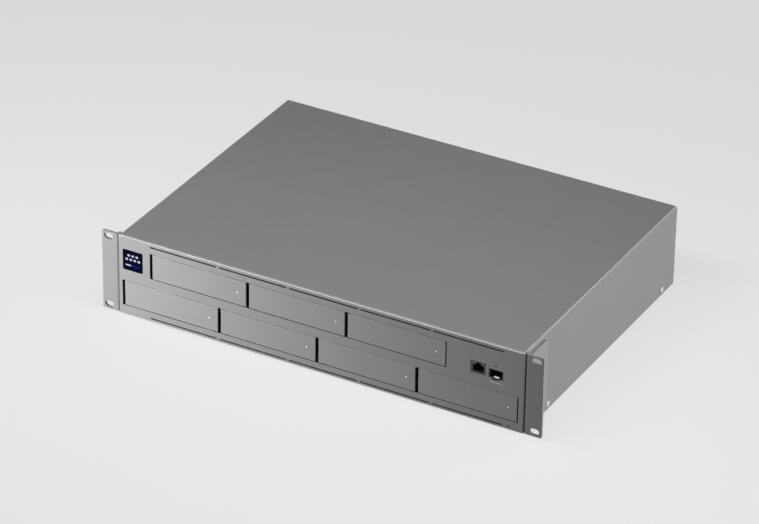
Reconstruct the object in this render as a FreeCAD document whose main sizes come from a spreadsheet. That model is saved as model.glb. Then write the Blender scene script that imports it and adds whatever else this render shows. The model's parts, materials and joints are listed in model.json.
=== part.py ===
import FreeCAD, Part
import math
import os
import re
import Sketcher

# A two-unit, seven-bay network storage enclosure for a 19-inch rack.
# Frame: +X to the right as seen from the front, +Y to the back, +Z up.
# The origin is the middle of the footprint, on the surface the case rests on. Millimetres.

DIMENSIONS = {
    # case
    "case_width": 442, "case_height": 87, "overall_depth": 325, "sheet": 1.2, "bend": 2.6,
    "slip": 0.1, "flange_height": 20, "panel_lip": 9, "shelf_lip": 8, "bezel_thick": 3,
    "bezel_bevel": 0.8,
    # bays: a pitch holds one swing gap and one door
    "bay_pitch": 107.95, "swing_gap": 2.6, "bay_height": 28, "end_gap": 0.7,
    "lower_left": -216.9, "lower_base": 10, "upper_left": -185.4, "upper_base": 47.4,
    "divider_thick": 1, "divider_start": 13, "divider_height": 34, "divider_bevel": 4,
    "cage_depth": 172,
    # drive tray and its door
    "tray_play": 0.3, "tray_lift": 0.1, "tray_wall": 2, "tray_floor": 1, "tray_height": 24,
    "tray_front": 12, "tray_front_wall": 2.2, "tray_length": 163, "tray_bevel": 5,
    "clip_low": 5.5, "clip_height": 4, "clip_length": 10, "clip_near": 28.4, "clip_far": 130,
    "intake_left": 18, "intake_right": 60, "intake_width": 30, "intake_low": 10, "intake_high": 18,
    "door_gap": 0.5, "door_thick": 2.6, "door_bevel": 0.4, "heel": 5, "pin_depth": 4.4,
    "pin_radius": 0.9, "pin_play": 0.05, "eye_radius": 1.9, "eye_low": 3, "eye_high": 8,
    "lug_half": 1.5, "lug_play": 0.15, "catch_inset": 7, "catch_thick": 3.4, "catch_hook": 1.2,
    "catch_half": 5, "catch_gap": 0.6, "lamp_radius": 0.8, "lamp_inset": 10.4, "lamp_tail": 2.4,
    # front vents
    "vent_length": 74.3, "vent_pitch": 77.5, "vent_height": 1.5, "vent_rise": 82.5, "vent_drop": 3.2,
    # display
    "display_side": 22.6, "display_x": -204.9, "display_z": 61.4, "display_round": 1.6,
    "glass_thick": 1.4, "module_side": 25, "module_thick": 4.2,
    # ports
    "jack_x": 172.65, "jack_z": 57.5, "jack_width": 16.6, "jack_height": 13.2, "jack_depth": 19,
    "plug_width": 11.9, "plug_height": 7.6, "plug_depth": 12.5, "latch_width": 6.2, "latch_height": 1.6,
    "catch_width": 3.4, "fibre_x": 191.25, "fibre_z": 55.7, "fibre_width": 14.5, "fibre_height": 9.2,
    "fibre_depth": 48, "fibre_wall": 0.5, "fibre_gap": 0.4, "notch_width": 7.3, "notch_height": 1.6,
    "port_lamp_x": 191.2, "port_lamp_z": 65, "port_lamp_radius": 1.1,
    "reset_x": 206, "reset_z": 3.6, "reset_radius": 1, "reset_depth": 1.4, "reset_collar": 1.5,
    "reset_travel_gap": 0.3,
    # rack ears
    "ear_width": 19, "ear_thick": 2.5, "ear_setback": 0.9, "ear_leg": 42, "ear_margin": 0.4,
    "ear_bend": 3, "ear_leg_margin": 4, "ear_leg_bevel": 3, "ear_tip_bevel": 0.8,
    "slot_offset": 11.55, "slot_span": 76.2, "slot_z": 5.4, "slot_length": 10, "slot_width": 6.8,
    # fasteners
    "head_radius": 3.1, "head_height": 1.4, "shank_radius": 1.5, "shank_length": 2.4,
    "hole_radius": 1.7, "cover_screw_z": 6.5, "cover_screw_front": 50, "cover_screw_back": 296,
    # inside
    "board_thick": 1.6, "board_gap": 1.6, "board_right": 217, "board_left": 66, "board_strip": 143,
    "board_end": 150, "deck_start": 178, "deck_margin": 4, "post_flat": 5,
    "backplane_start": 174.5, "backplane_thick": 1.6, "backplane_low": 4, "backplane_margin": 6,
    "backplane_rise": 33, "air_left": 16, "air_right": 12, "air_low": 15, "air_high": 26,
    "socket_width": 43, "socket_height": 6.4, "socket_depth": 6.2, "socket_rise": 3,
    "chip_side": 20, "chip_height": 1.5, "sink_inset": 30, "sink_y": 60, "sink_side": 44,
    "sink_base": 2.5, "sink_height": 13, "fin_thick": 1.2, "fin_count": 12,
    "supply_width": 136, "supply_depth": 118, "supply_height": 40, "supply_x": 146,
    "supply_gap": 4, "supply_vent_inset": 16, "supply_vent_low": 8, "supply_vent_high": 11,
    "supply_vent_pitch": 6,
    # fans
    "fan_side": 80, "fan_depth": 25, "fan_bore": 38.6, "fan_corner": 2.5, "fan_hole": 35.75,
    "fan_hole_radius": 2.15, "fan_hub": 16, "hub_bevel": 1.2, "motor_plate": 3.2, "strut_half": 1.6,
    "rotor_front": 1.5, "rotor_back": 3.7, "fan_left_x": -128, "fan_right_x": -44, "fan_z": 43.5,
    "blade_reach": 35.8, "blade_count": 7, "mesh_flat": 10.8, "mesh_pitch": 12.8, "board_vent_z": 61,
    # mains inlet
    "inlet_x": 176, "inlet_z": 23, "inlet_width": 27.4, "inlet_height": 19.8, "inlet_depth": 22,
    "inlet_flange": 49.6, "inlet_flange_thick": 2.2, "inlet_flange_rim": 1.2, "inlet_flange_end": 4,
    "inlet_ear": 20, "inlet_proud": 0.4, "inlet_mouth_width": 24.4, "inlet_mouth_height": 16.8,
    "inlet_mouth_depth": 16.5, "inlet_mouth_bevel": 4.6, "inlet_tail": 6, "pin_half_width": 1,
    "pin_half_height": 2, "pin_length": 9,
}

FRONT = "(-overall_depth / 2)"
BACK = "(overall_depth / 2 - head_height)"
BEZEL_BACK = "(-overall_depth / 2 + bezel_thick)"
HALF = "(case_width / 2)"
INSIDE = "(case_width / 2 - sheet - slip)"
REAR_FACE = f"({BACK} - sheet)"
DOOR_RIGHT = "(bay_pitch)"
LOWER_RIGHT = "(lower_left + 4 * bay_pitch + end_gap)"
UPPER_RIGHT = "(upper_left + 3 * bay_pitch + end_gap)"
MESH_STEP = "(mesh_pitch * 0.8660254)"
PLANES = {"top": "XY_Plane", "front": "XZ_Plane", "side": "YZ_Plane"}
TOLERANCE = 1e-3

doc = FreeCAD.newDocument("nas_enclosure")
dims = doc.addObject("Spreadsheet::Sheet", "dims")
for row, (name, value) in enumerate(DIMENSIONS.items(), 1):
    dims.set(f"A{row}", name)
    dims.set(f"B{row}", str(value))
    dims.setAlias(f"B{row}", name)
doc.recompute()

ALIAS = re.compile(r"\b(" + "|".join(sorted(DIMENSIONS, key=len, reverse=True)) + r")\b")
nodes = []


def linked(text):
    """The expression with each dimension's name pointing at its cell."""
    return ALIAS.sub(r"dims.\1", str(text))


def size(text):
    """The present value of an expression, in millimetres."""
    return float(dims.evalExpression(linked(text)))


def bind(thing, field, text):
    thing.setExpression(field, linked(text))


# ---- drawing on sketches: each function returns what draws one closed outline ----

def hold(sketch, kind, *where, text):
    """Adds a measured constraint and binds it to an expression."""
    index = sketch.addConstraint(Sketcher.Constraint(kind, *where, size(text)))
    name = f"d{index}"
    sketch.renameConstraint(index, name)
    bind(sketch, f"Constraints.{name}", text)


def polygon(*points):
    def draw(sketch):
        corners = [FreeCAD.Vector(size(u), size(v), 0) for u, v in points]
        first = sketch.GeometryCount
        count = len(corners)
        for k in range(count):
            sketch.addGeometry(Part.LineSegment(corners[k], corners[(k + 1) % count]))
        for k in range(count):
            following = first + (k + 1) % count
            sketch.addConstraint(Sketcher.Constraint("Coincident", first + k, 2, following, 1))
        for k, (u, v) in enumerate(points):
            hold(sketch, "DistanceX", -1, 1, first + k, 1, text=u)
            hold(sketch, "DistanceY", -1, 1, first + k, 1, text=v)
    return draw


def rectangle(left, right, low, high):
    return polygon((left, low), (right, low), (right, high), (left, high))


def circle(u, v, radius):
    def draw(sketch):
        index = sketch.GeometryCount
        centre = FreeCAD.Vector(size(u), size(v), 0)
        sketch.addGeometry(Part.Circle(centre, FreeCAD.Vector(0, 0, 1), size(radius)))
        hold(sketch, "DistanceX", -1, 1, index, 3, text=u)
        hold(sketch, "DistanceY", -1, 1, index, 3, text=v)
        hold(sketch, "Radius", index, text=radius)
    return draw


def slot(left, right, v, radius):
    """A level slot with round ends; left and right are the centres of its ends."""
    def draw(sketch):
        a, b, y, r = size(left), size(right), size(v), size(radius)
        up = FreeCAD.Vector(0, 0, 1)
        first = sketch.GeometryCount
        quarter = math.pi / 2
        sketch.addGeometry(Part.LineSegment(FreeCAD.Vector(a, y - r, 0), FreeCAD.Vector(b, y - r, 0)))
        right_end = Part.Circle(FreeCAD.Vector(b, y, 0), up, r)
        sketch.addGeometry(Part.ArcOfCircle(right_end, -quarter, quarter))
        sketch.addGeometry(Part.LineSegment(FreeCAD.Vector(b, y + r, 0), FreeCAD.Vector(a, y + r, 0)))
        left_end = Part.Circle(FreeCAD.Vector(a, y, 0), up, r)
        sketch.addGeometry(Part.ArcOfCircle(left_end, quarter, 3 * quarter))
        for k in range(4):
            sketch.addConstraint(Sketcher.Constraint("Tangent", first + k, 2, first + (k + 1) % 4, 1))
        sketch.addConstraint(Sketcher.Constraint("Horizontal", first))
        sketch.addConstraint(Sketcher.Constraint("Equal", first + 1, first + 3))
        hold(sketch, "DistanceX", -1, 1, first + 3, 3, text=left)
        hold(sketch, "DistanceX", -1, 1, first + 1, 3, text=right)
        hold(sketch, "DistanceY", -1, 1, first + 1, 3, text=v)
        hold(sketch, "Radius", first + 1, text=radius)
    return draw


def hexagon(u, v, flat):
    """A hexagon with two upright sides, flat across."""
    tip = f"({flat} / 1.7320508)"
    side = f"({flat} / 2)"
    return polygon(
        (f"{u} + {side}", f"{v} - {tip} / 2"), (f"{u} + {side}", f"{v} + {tip} / 2"), (u, f"{v} + {tip}"),
        (f"{u} - {side}", f"{v} + {tip} / 2"), (f"{u} - {side}", f"{v} - {tip} / 2"), (u, f"{v} - {tip}"))


def many_sided(u, v, radius, count=12):
    """A regular outline whose flats lie at the radius, for small holes and rods."""
    corner = radius_of_corners(radius, count)
    turns = [2 * math.pi * (k + 0.5) / count for k in range(count)]
    return polygon(*[(f"{u} + {corner} * {math.cos(a):.6f}", f"{v} + {corner} * {math.sin(a):.6f}")
                     for a in turns])


def radius_of_corners(radius, count):
    return f"(({radius}) / {math.cos(math.pi / count):.6f})"


# ---- bodies and their features ----

def new_body(label, place=None):
    body = doc.addObject("PartDesign::Body", label)
    body.Label = label
    body.AllowCompound = True
    if place:
        for letter, text in zip("xyz", place):
            bind(body, f"Placement.Base.{letter}", text)
    nodes.append(body)
    return body


def new_sketch(body, view, offset, drawings):
    sketch = body.newObject("Sketcher::SketchObject", f"{body.Label}_{view}")
    plane = next(item for item in body.Origin.OriginFeatures if item.Role == PLANES[view])
    sketch.AttachmentSupport = (plane, [""])
    sketch.MapMode = "FlatFace"
    bind(sketch, "AttachmentOffset.Base.z", offset)
    for draw in drawings:
        draw(sketch)
    return sketch


def pad(body, view, start, end, *drawings):
    """Adds material between two depths along the view's axis."""
    offset = f"-({end})" if view == "front" else start
    feature = body.newObject("PartDesign::Pad", f"{body.Label}_pad")
    feature.Profile = new_sketch(body, view, offset, drawings)
    bind(feature, "Length", f"({end}) - ({start})")
    return feature


def cut(body, view, start, end, *drawings):
    """Takes material away between two depths along the view's axis."""
    offset = f"-({start})" if view == "front" else end
    feature = body.newObject("PartDesign::Pocket", f"{body.Label}_cut")
    feature.Profile = new_sketch(body, view, offset, drawings)
    bind(feature, "Length", f"({end}) - ({start})")
    return feature


def row_of(body, feature, count, pitch, axis="H_Axis"):
    """Repeats a feature along its own sketch's axis."""
    pattern = body.newObject("PartDesign::LinearPattern", f"{body.Label}_row")
    pattern.Originals = [feature]
    pattern.Direction = (feature.Profile[0], [axis])
    bind(pattern, "Length", f"({pitch}) * {count - 1}")
    pattern.Occurrences = count
    body.Tip = pattern
    return pattern


def dress(body, kind, amount, chosen):
    """Rounds or bevels the edges of the body for which chosen(edge) is true."""
    doc.recompute()
    base = body.Tip
    names = [f"Edge{k}" for k, edge in enumerate(base.Shape.Edges, 1) if chosen(edge)]
    feature = body.newObject(f"PartDesign::{kind}", f"{body.Label}_{kind.lower()}")
    feature.Base = (base, names)
    bind(feature, "Radius" if kind == "Fillet" else "Size", amount)
    return feature


def runs_along(edge, axis):
    box = edge.BoundBox
    spans = {"x": box.XLength, "y": box.YLength, "z": box.ZLength}
    length = spans.pop(axis)
    return length > TOLERANCE and max(spans.values()) < TOLERANCE


def near(value, text):
    return abs(value - size(text)) < TOLERANCE


# ---- case ----

def make_base_pan():
    body = new_body("base_pan")
    wall_in = f"({INSIDE} - sheet)"
    pad(body, "front", f"{BEZEL_BACK} + slip", f"{REAR_FACE} - slip", polygon(
        (f"-{INSIDE}", "0"), (INSIDE, "0"), (INSIDE, "flange_height"), (wall_in, "flange_height"),
        (wall_in, "sheet"), (f"-{wall_in}", "sheet"), (f"-{wall_in}", "flange_height"),
        (f"-{INSIDE}", "flange_height")))
    dress(body, "Fillet", "bend", lambda edge: runs_along(edge, "y") and near(edge.BoundBox.ZMin, "0"))
    cut(body, "side", f"-{HALF}", HALF, *side_holes("shank_radius"))


def side_holes(radius):
    rows = (f"{FRONT} + cover_screw_front", f"{FRONT} + cover_screw_back")
    return [many_sided(y, "cover_screw_z", radius, 8) for y in rows]


def make_top_cover():
    body = new_body("top_cover")
    inner = f"({HALF} - sheet)"
    under = "(case_height - sheet)"
    pad(body, "front", BEZEL_BACK, BACK, polygon(
        (f"-{HALF}", "sheet / 4"), (f"-{inner}", "sheet / 4"), (f"-{inner}", under), (inner, under),
        (inner, "sheet / 4"), (HALF, "sheet / 4"), (HALF, "case_height"), (f"-{HALF}", "case_height")))
    dress(body, "Fillet", "bend",
          lambda edge: runs_along(edge, "y") and near(edge.BoundBox.ZMin, "case_height"))
    cut(body, "side", f"-{HALF} - slip", f"{HALF} + slip", *side_holes("hole_radius"))


def make_rear_panel():
    body = new_body("rear_panel")
    top = "(case_height - sheet - slip)"
    low = "(sheet + slip)"
    lip = f"({REAR_FACE} - panel_lip)"
    pad(body, "side", f"-{INSIDE} + sheet + slip", f"{INSIDE} - sheet - slip", polygon(
        (lip, low), (BACK, low), (BACK, top), (lip, top), (lip, f"{top} - sheet"),
        (REAR_FACE, f"{top} - sheet"), (REAR_FACE, f"{low} + sheet"), (lip, f"{low} + sheet")))
    ears = [circle(f"inlet_x + {side} * inlet_ear", "inlet_z", "hole_radius") for side in (-1, 1)]
    mouth = rectangle("inlet_x - inlet_width / 2 - slip", "inlet_x + inlet_width / 2 + slip",
                      "inlet_z - inlet_height / 2 - slip", "inlet_z + inlet_height / 2 + slip")
    cut(body, "front", f"{REAR_FACE} - slip", f"{BACK} + slip", mouth, *ears)
    for fan in ("fan_left_x", "fan_right_x"):
        mesh_window(body, fan, "fan_z", size("fan_bore") - size("mesh_flat") / 2)
    board_vent(body)


def mesh_window(body, centre_x, centre_z, reach):
    """Level rows of hexagons, every other row half a pitch across, inside a circle."""
    for level in range(-3, 4):
        shift = 0.5 if level % 2 else 0
        z = size(MESH_STEP) * level
        room = (reach ** 2 - z ** 2) if abs(z) < reach else 0
        half_count = int((room ** 0.5) / size("mesh_pitch") - shift + 1e-6)
        count = 2 * half_count + (2 if shift else 1)
        if room <= 0 or count < 2:
            continue
        start = f"{centre_x} - {half_count + shift} * mesh_pitch"
        feature = cut(body, "front", f"{REAR_FACE} - slip", f"{BACK} + slip",
                      hexagon(start, f"{centre_z} + {level} * {MESH_STEP}", "mesh_flat"))
        row_of(body, feature, count, "mesh_pitch")


def board_vent(body):
    """Two rows of hexagons above the mains inlet, behind the main board."""
    for level, count in enumerate((9, 8)):
        start = f"supply_x - 4 * mesh_pitch + {level} * mesh_pitch / 2"
        feature = cut(body, "front", f"{REAR_FACE} - slip", f"{BACK} + slip",
                      hexagon(start, f"board_vent_z + {level} * {MESH_STEP}", "mesh_flat"))
        row_of(body, feature, count, "mesh_pitch")


def make_front_bezel():
    body = new_body("front_bezel")
    pad(body, "front", FRONT, BEZEL_BACK, rectangle(f"-{HALF}", HALF, "0", "case_height"))
    front = size(FRONT)
    dress(body, "Chamfer", "bezel_bevel", lambda edge: edge.BoundBox.YMax < front + TOLERANCE)
    through = (f"{FRONT} - slip", f"{BEZEL_BACK} + slip")
    cut(body, "front", *through,
        rectangle("lower_left", LOWER_RIGHT, "lower_base", "lower_base + bay_height"),
        rectangle("upper_left", UPPER_RIGHT, "upper_base", "upper_base + bay_height"),
        rectangle("jack_x - jack_width / 2", "jack_x + jack_width / 2",
                  "jack_z - jack_height / 2", "jack_z + jack_height / 2"),
        many_sided("port_lamp_x", "port_lamp_z", "port_lamp_radius"),
        circle("reset_x", "reset_z", "reset_radius"))
    cut(body, "front", *through, fibre_outline("(-fibre_gap)"))
    side = "(display_side / 2)"
    cut(body, "front", *through, rectangle(
        f"display_x - {side}", f"display_x + {side}", f"display_z - {side}", f"display_z + {side}"))
    low, high = size(f"display_x - {side}"), size(f"display_x + {side}")
    dress(body, "Fillet", "display_round", lambda edge: runs_along(edge, "y") and any(
        abs(edge.BoundBox.XMin - x) < TOLERANCE for x in (low, high)))
    for z in ("vent_drop", "vent_rise"):
        first = cut(body, "front", *through, rectangle(
            "upper_left", "upper_left + vent_length", f"{z} - vent_height / 2", f"{z} + vent_height / 2"))
        row_of(body, first, 5, "vent_pitch")


def fibre_outline(inset):
    """The fibre cage's outline, with the latch notch under it; a gap round it is a negative inset."""
    side = f"(fibre_width / 2 - {inset})"
    low = f"(fibre_z - fibre_height / 2 + {inset})"
    high = f"(fibre_z + fibre_height / 2 - {inset})"
    notch = f"(notch_width / 2 - {inset})"
    foot = f"({low} - notch_height)"
    return polygon(
        (f"fibre_x - {side}", low), (f"fibre_x - {notch}", low), (f"fibre_x - {notch}", foot),
        (f"fibre_x + {notch}", foot), (f"fibre_x + {notch}", low), (f"fibre_x + {side}", low),
        (f"fibre_x + {side}", high), (f"fibre_x - {side}", high))


# ---- drive cage ----

def make_shelves():
    shelf = new_body("lower_shelf")
    back = f"{FRONT} + cage_depth"
    side = f"({INSIDE} - sheet - slip)"
    pad(shelf, "front", f"{BEZEL_BACK} + slip", back, polygon(
        (f"-{side}", "sheet"), (f"-{side} + sheet", "sheet"), (f"-{side} + sheet", "lower_base - sheet"),
        (f"{side} - sheet", "lower_base - sheet"), (f"{side} - sheet", "sheet"), (side, "sheet"),
        (side, "lower_base"), (f"-{side}", "lower_base")))
    shelf = new_body("middle_shelf")
    pad(shelf, "front", f"{BEZEL_BACK} + slip", back, polygon(
        (f"-{side}", "upper_base - shelf_lip"), (f"-{side} + sheet", "upper_base - shelf_lip"),
        (f"-{side} + sheet", "upper_base - sheet"), (f"{side} - sheet", "upper_base - sheet"),
        (f"{side} - sheet", "upper_base - shelf_lip"), (side, "upper_base - shelf_lip"),
        (side, "upper_base"), (f"-{side}", "upper_base")))


def make_dividers(label, left, base, height, count):
    body = new_body(label)
    middle = f"({left} + swing_gap / 2)"
    near_end = f"({FRONT} + divider_start)"
    far_end = f"({FRONT} + cage_depth)"
    web = pad(body, "top", base, f"{base} + {height}", rectangle(
        f"{middle} - divider_thick / 2", f"{middle} + divider_thick / 2", near_end, far_end))
    row_of(body, web, count, "bay_pitch")
    dress(body, "Chamfer", "divider_bevel", lambda edge: runs_along(edge, "x")
          and near(edge.BoundBox.YMin, near_end) and edge.BoundBox.ZMin > size(base) + 1)


# ---- drive tray: drawn about the lower left corner of its bay, at the front face ----

def bays():
    for number in range(1, 4):
        yield number, f"upper_left + {number - 1} * bay_pitch", "upper_base"
    for number in range(4, 8):
        yield number, f"lower_left + {number - 4} * bay_pitch", "lower_base"


PIN_X = "(swing_gap + heel)"
TRAY_LEFT = "(swing_gap / 2 + divider_thick / 2 + tray_play)"
TRAY_RIGHT = "(bay_pitch + swing_gap / 2 - divider_thick / 2 - tray_play)"
EYE_TOP = "(bay_height - door_gap)"


def make_tray(label, place):
    body = new_body(label, place)
    floor = "(tray_lift + tray_floor)"
    top = "(tray_lift + tray_height)"
    pad(body, "front", "tray_front", "tray_length", polygon(
        (TRAY_LEFT, "tray_lift"), (TRAY_RIGHT, "tray_lift"), (TRAY_RIGHT, top),
        (f"{TRAY_RIGHT} - tray_wall", top), (f"{TRAY_RIGHT} - tray_wall", floor),
        (f"{TRAY_LEFT} + tray_wall", floor), (f"{TRAY_LEFT} + tray_wall", top), (TRAY_LEFT, top)))
    pad(body, "front", "tray_front", "tray_front + tray_front_wall",
        rectangle(TRAY_LEFT, TRAY_RIGHT, "tray_lift", top))
    lug_low = "(eye_high + lug_play)"
    lug_high = "(bay_height - eye_high - lug_play)"
    nose = "(lug_half * 0.45)"
    pad(body, "top", lug_low, lug_high, polygon(
        (f"{PIN_X} - lug_half", "tray_front + slip"), (f"{PIN_X} - lug_half", f"pin_depth - {nose}"),
        (f"{PIN_X} - {nose}", "pin_depth - lug_half"), (f"{PIN_X} + {nose}", "pin_depth - lug_half"),
        (f"{PIN_X} + lug_half", f"pin_depth - {nose}"), (f"{PIN_X} + lug_half", "tray_front + slip")))
    cut(body, "top", f"{lug_low} - slip", f"{lug_high} + slip",
        many_sided(PIN_X, "pin_depth", "pin_radius"))
    cut(body, "side", f"{TRAY_LEFT} - slip", f"{TRAY_RIGHT} + slip",
        *[rectangle(f"{clip} - clip_length / 2", f"{clip} + clip_length / 2",
                    "clip_low", "clip_low + clip_height")
          for clip in ("clip_near", "clip_far")])
    cut(body, "front", "tray_front - slip", "tray_front + tray_front_wall + slip",
        *[rectangle(start, f"{start} + intake_width", "intake_low", "intake_high")
          for start in ("intake_left", "intake_right")])
    dress(body, "Chamfer", "tray_bevel", lambda edge: runs_along(edge, "x")
          and near(edge.BoundBox.YMin, "tray_length") and near(edge.BoundBox.ZMin, top))
    return body


def make_door(label, place):
    body = new_body(label, place)
    left, right = "swing_gap", DOOR_RIGHT
    low, high = "door_gap", EYE_TOP
    pad(body, "front", "0", "door_thick", rectangle(left, right, low, high))
    dress(body, "Chamfer", "door_bevel", lambda edge: near(edge.BoundBox.YMax, "0"))
    for start, end in (("eye_low", "eye_high"), ("bay_height - eye_high", "bay_height - eye_low")):
        side, crown = "eye_radius", "(eye_radius * 0.45)"
        pad(body, "top", start, end, polygon(
            (f"{PIN_X} - {side}", "door_thick - slip"), (f"{PIN_X} + {side}", "door_thick - slip"),
            (f"{PIN_X} + {side}", f"pin_depth + {crown}"), (f"{PIN_X} + {crown}", f"pin_depth + {side}"),
            (f"{PIN_X} - {crown}", f"pin_depth + {side}"), (f"{PIN_X} - {side}", f"pin_depth + {crown}")))
        cut(body, "top", f"{start} - slip", f"{end} + slip",
            many_sided(PIN_X, "pin_depth", "pin_radius + pin_play"))
    catch_left, catch_end = f"({right} - catch_inset)", "(tray_front - catch_gap)"
    pad(body, "top", "bay_height / 2 - catch_half", "bay_height / 2 + catch_half", polygon(
        (catch_left, "door_thick - slip"), (f"{catch_left} + catch_thick", "door_thick - slip"),
        (f"{catch_left} + catch_thick / 2", catch_end), (catch_left, catch_end),
        (f"{catch_left} - catch_hook", f"{catch_end} - catch_hook"),
        (f"{catch_left} - catch_hook", f"{catch_end} - 2 * catch_hook")))
    cut(body, "front", "-slip", "door_thick + slip", many_sided(
        f"{right} - lamp_inset", "bay_height / 2", "lamp_radius"))
    return body


def make_pin(label, place):
    body = new_body(label, place)
    pad(body, "top", "eye_low", "bay_height - eye_low",
        many_sided(PIN_X, "pin_depth", "pin_radius - pin_play / 2"))


def make_lamp(label, place):
    """A light pipe pressed into the door from behind, with its end flush."""
    body = new_body(label, place)
    x, z = f"({DOOR_RIGHT} - lamp_inset)", "(bay_height / 2)"
    pad(body, "front", "0.1", "door_thick + lamp_tail", many_sided(x, z, "lamp_radius"))


# ---- front panel pieces ----

def make_display():
    glass = new_body("display_glass")
    side = "(display_side / 2 - slip / 2)"
    back = f"({FRONT} + glass_thick)"
    pad(glass, "front", FRONT, back, rectangle(
        f"display_x - {side}", f"display_x + {side}", f"display_z - {side}", f"display_z + {side}"))
    dress(glass, "Fillet", "display_round", lambda edge: runs_along(edge, "y"))
    module = new_body("display_module")
    half = "(module_side / 2)"
    pad(module, "front", BEZEL_BACK, f"{BEZEL_BACK} + module_thick", rectangle(
        f"display_x - {half}", f"display_x + {half}", f"display_z - {half}", f"display_z + {half}"))
    pad(module, "front", back, f"{BEZEL_BACK} + slip", rectangle(
        f"display_x - {side} + 1", f"display_x + {side} - 1",
        f"display_z - {side} + 1", f"display_z + {side} - 1"))


def make_network_jack():
    body = new_body("network_jack")
    half, tall = "(jack_width / 2 - slip / 2)", "(jack_height / 2 - slip / 2)"
    pad(body, "front", f"{FRONT} + 0.3", f"{FRONT} + jack_depth", rectangle(
        f"jack_x - {half}", f"jack_x + {half}", f"jack_z - {tall}", f"jack_z + {tall}"))
    low = "(jack_z - jack_height / 2 + 1.6)"
    shelf = f"({low} + plug_height)"
    step = f"({shelf} + latch_height)"
    crown = f"({step} + 1.1)"
    side, latch, catch = "(plug_width / 2)", "(latch_width / 2)", "(catch_width / 2)"
    cut(body, "front", f"{FRONT} - slip", f"{FRONT} + plug_depth", polygon(
        (f"jack_x - {side}", low), (f"jack_x + {side}", low), (f"jack_x + {side}", shelf),
        (f"jack_x + {latch}", shelf), (f"jack_x + {latch}", step), (f"jack_x + {catch}", step),
        (f"jack_x + {catch}", crown), (f"jack_x - {catch}", crown), (f"jack_x - {catch}", step),
        (f"jack_x - {latch}", step), (f"jack_x - {latch}", shelf), (f"jack_x - {side}", shelf)))


def make_fibre_cage():
    body = new_body("fibre_cage")
    half, tall = "(fibre_width / 2 - slip / 2)", "(fibre_height / 2 - slip / 2)"
    latch_end = f"({BEZEL_BACK} + 1.6)"
    pad(body, "front", f"{FRONT} + 0.3", latch_end, fibre_outline("(slip / 2)"))
    pad(body, "front", f"{FRONT} + 0.3", f"{FRONT} + fibre_depth", rectangle(
        f"fibre_x - {half}", f"fibre_x + {half}", f"fibre_z - {tall}", f"fibre_z + {tall}"))
    cut(body, "front", f"{FRONT} - slip", f"{latch_end} - fibre_wall",
        fibre_outline("(fibre_wall + slip / 2)"))
    cut(body, "front", f"{FRONT} - slip", f"{FRONT} + fibre_depth - 1", rectangle(
        f"fibre_x - {half} + fibre_wall", f"fibre_x + {half} - fibre_wall",
        f"fibre_z - {tall} + fibre_wall", f"fibre_z + {tall} - fibre_wall"))


def make_port_lamp():
    body = new_body("port_lamp")
    pad(body, "front", f"{FRONT} + 0.1", f"{FRONT} + 6",
        many_sided("port_lamp_x", "port_lamp_z", "port_lamp_radius"))


def make_reset():
    button = new_body("reset_button")
    play = "0.05"
    pad(button, "front", f"{FRONT} + reset_depth", f"{BEZEL_BACK} + 1.5",
        circle("reset_x", "reset_z", f"reset_radius - {play}"))
    pad(button, "front", f"{BEZEL_BACK} + reset_travel_gap", f"{BEZEL_BACK} + 1.5",
        many_sided("reset_x", "reset_z", "reset_collar", 8))
    switch = new_body("reset_switch")
    pad(switch, "front", f"{BEZEL_BACK} + 2.1", f"{BEZEL_BACK} + 5.6",
        rectangle("reset_x - 3", "reset_x + 3", "sheet", "sheet + 6"))


# ---- rack ears ----

def make_ear(label, side):
    body = new_body(label)
    inner, outer = f"({side} * {HALF})", f"({side} * ({HALF} + ear_width))"
    leg = f"({side} * ({HALF} + ear_thick))"
    face = f"({FRONT} + ear_setback)"
    back = f"({face} + ear_thick)"
    pad(body, "top", "ear_margin", "case_height - ear_margin", polygon(
        (inner, face), (outer, face), (outer, back), (leg, back), (leg, f"{FRONT} + ear_leg"),
        (inner, f"{FRONT} + ear_leg")))
    margin = "(ear_leg_margin + ear_margin)"
    notch_start = f"({back} + ear_bend)"
    low_high = (f"{HALF} - slip", f"{HALF} + ear_thick + slip")
    start, end = low_high if side > 0 else (f"-({low_high[1]})", f"-({low_high[0]})")
    far = f"({FRONT} + ear_leg + slip)"
    cut(body, "side", start, end,
        rectangle(notch_start, far, "0", margin),
        rectangle(notch_start, far, f"case_height - {margin}", "case_height"))
    corner = size(inner)
    dress(body, "Fillet", "ear_bend", lambda edge: runs_along(edge, "z")
          and abs(edge.BoundBox.XMin - corner) < TOLERANCE and near(edge.BoundBox.YMin, face))
    tip = size(outer)
    dress(body, "Chamfer", "ear_tip_bevel", lambda edge: runs_along(edge, "y")
          and abs(edge.BoundBox.XMin - tip) < TOLERANCE)
    dress(body, "Chamfer", "ear_leg_bevel", lambda edge: runs_along(edge, "x")
          and near(edge.BoundBox.YMin, f"{FRONT} + ear_leg"))
    middle = f"({side} * ({HALF} + slot_offset))"
    reach = "(slot_length / 2 - slot_width / 2)"
    cut(body, "front", f"{face} - slip", f"{back} + slip", *[
        slot(f"{middle} - {reach}", f"{middle} + {reach}", z, "slot_width / 2")
        for z in ("slot_z", "slot_z + slot_span")])


# ---- inside ----

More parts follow.
